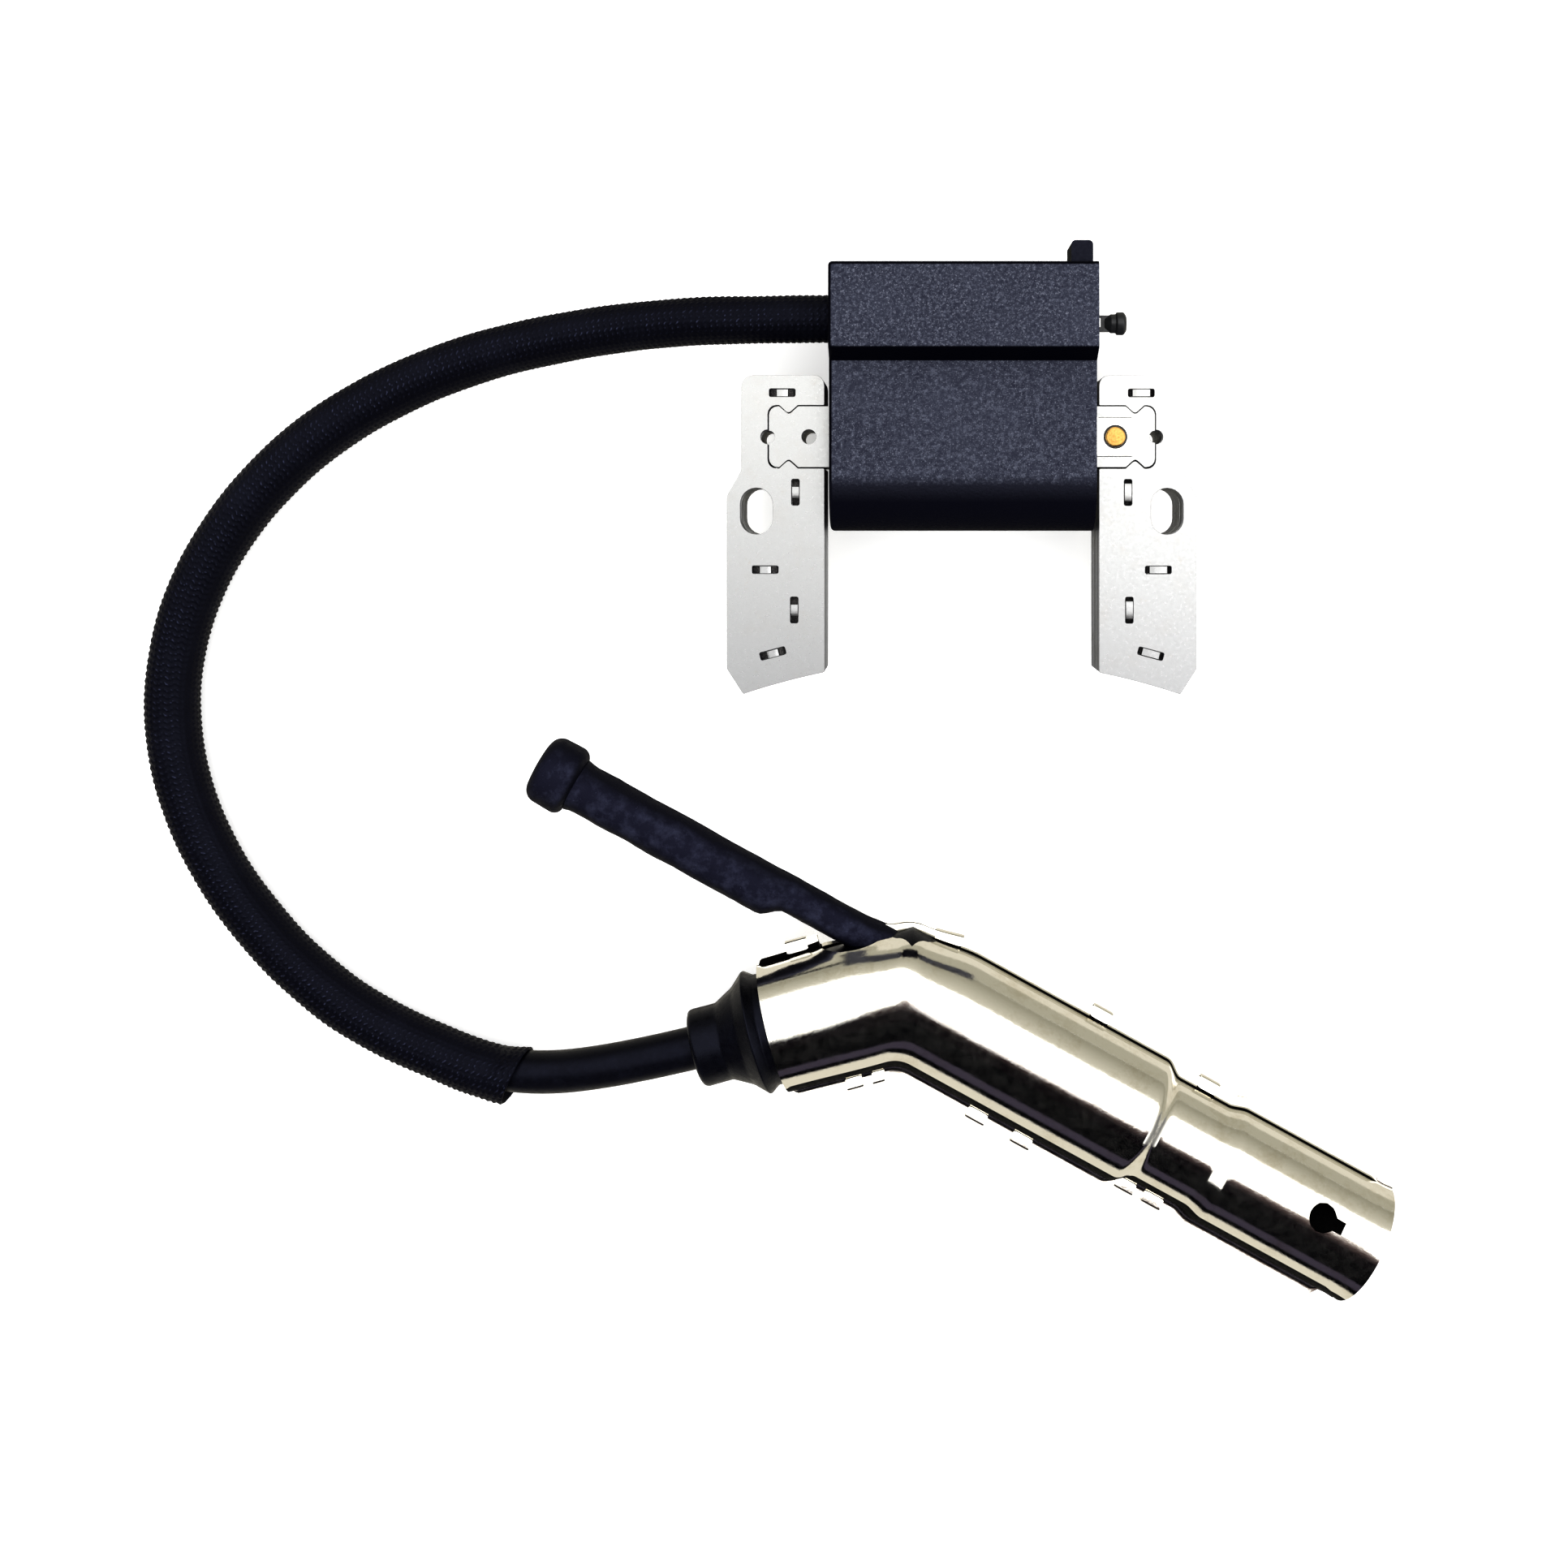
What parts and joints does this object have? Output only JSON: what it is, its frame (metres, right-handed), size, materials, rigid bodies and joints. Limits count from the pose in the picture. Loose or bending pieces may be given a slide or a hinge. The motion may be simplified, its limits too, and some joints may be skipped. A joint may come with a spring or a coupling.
{
  "type": "ignition coil",
  "caption": "Flywheel ignition coil: a potted housing on a laminated U-shaped core, with a sleeved high-voltage lead to a metal-shielded elbow plug cap with a pull handle.",
  "frame": {"origin": "under the middle of the coil module (core, housing, lug), on the flat back face that it rests on", "axes": "+X across the two core legs, away from the lead's exit; +Y from the pole faces to the wire-guide lug; +Z from the back face to the raised front face"},
  "size_m": [0.2078, 0.1713, 0.0335],
  "materials": {
    "housing": "dark slate moulded nylon, fine speckle, satin",
    "resin": "black epoxy, poured, glossy",
    "core_steel": "bare silicon steel sheet, stacked",
    "tinned_steel": "thin tinned sheet",
    "rivet_brass": "brass, headed over",
    "bobbin_nylon": "natural nylon",
    "magnet_wire": "enamelled copper wire",
    "fine_magnet_wire": "fine enamelled copper wire",
    "board_laminate": "phenolic laminate",
    "component_black": "moulded epoxy package",
    "resistor_body": "lacquered ceramic",
    "capacitor_body": "dipped film capacitor",
    "terminal_brass": "bare brass",
    "knob_plastic": "black moulded plastic",
    "conductor_strands": "tinned copper strands",
    "lead_rubber": "black EPDM, semi-gloss",
    "sleeve_braid": "black varnished glass-fibre braid",
    "boot_rubber": "black moulded rubber",
    "handle_rubber": "matte moulded rubber",
    "shield_steel": "bright tinned pressed sheet",
    "ceramic_body": "glazed ceramic",
    "spring_steel": "spring steel wire"
  },
  "bodies": {
    "coil": {"coil_housing": "housing", "potting_resin": "resin", "core_bar": "core_steel", "left_core_leg": "core_steel", "right_core_leg": "core_steel", "ground_strap": "tinned_steel", "ground_rivet": "rivet_brass", "primary_bobbin": "bobbin_nylon", "primary_winding": "magnet_wire", "secondary_bobbin": "bobbin_nylon", "secondary_winding": "fine_magnet_wire", "circuit_board": "board_laminate", "switching_transistor": "component_black", "board_resistors": "resistor_body", "trigger_capacitor": "capacitor_body", "clamp_diode": "component_black", "hv_terminal": "terminal_brass", "kill_terminal": "tinned_steel", "kill_terminal_cap": "knob_plastic", "lead_conductor": "conductor_strands", "lead_insulation": "lead_rubber", "braided_sleeve": "sleeve_braid", "cable_seal": "boot_rubber", "cap_boot": "boot_rubber", "handle_root": "handle_rubber", "shield_front_half": "shield_steel", "shield_rear_half": "shield_steel", "elbow_terminal": "terminal_brass", "suppressor_resistor": "ceramic_body", "contact_spring": "spring_steel", "plug_terminal": "terminal_brass", "terminal_clip": "spring_steel"},
    "handle": {"pull_handle": "handle_rubber"}
  },
  "joints": [
    {"name": "handle_flex", "type": "hinge", "parent": "coil", "child": "handle", "pos_m": [-0.02419, -0.0718, 0.01095], "axis": [0, 0, 1], "range_deg": [-25, 25], "stiffness_Nm_per_rad": 0.021}
  ]
}
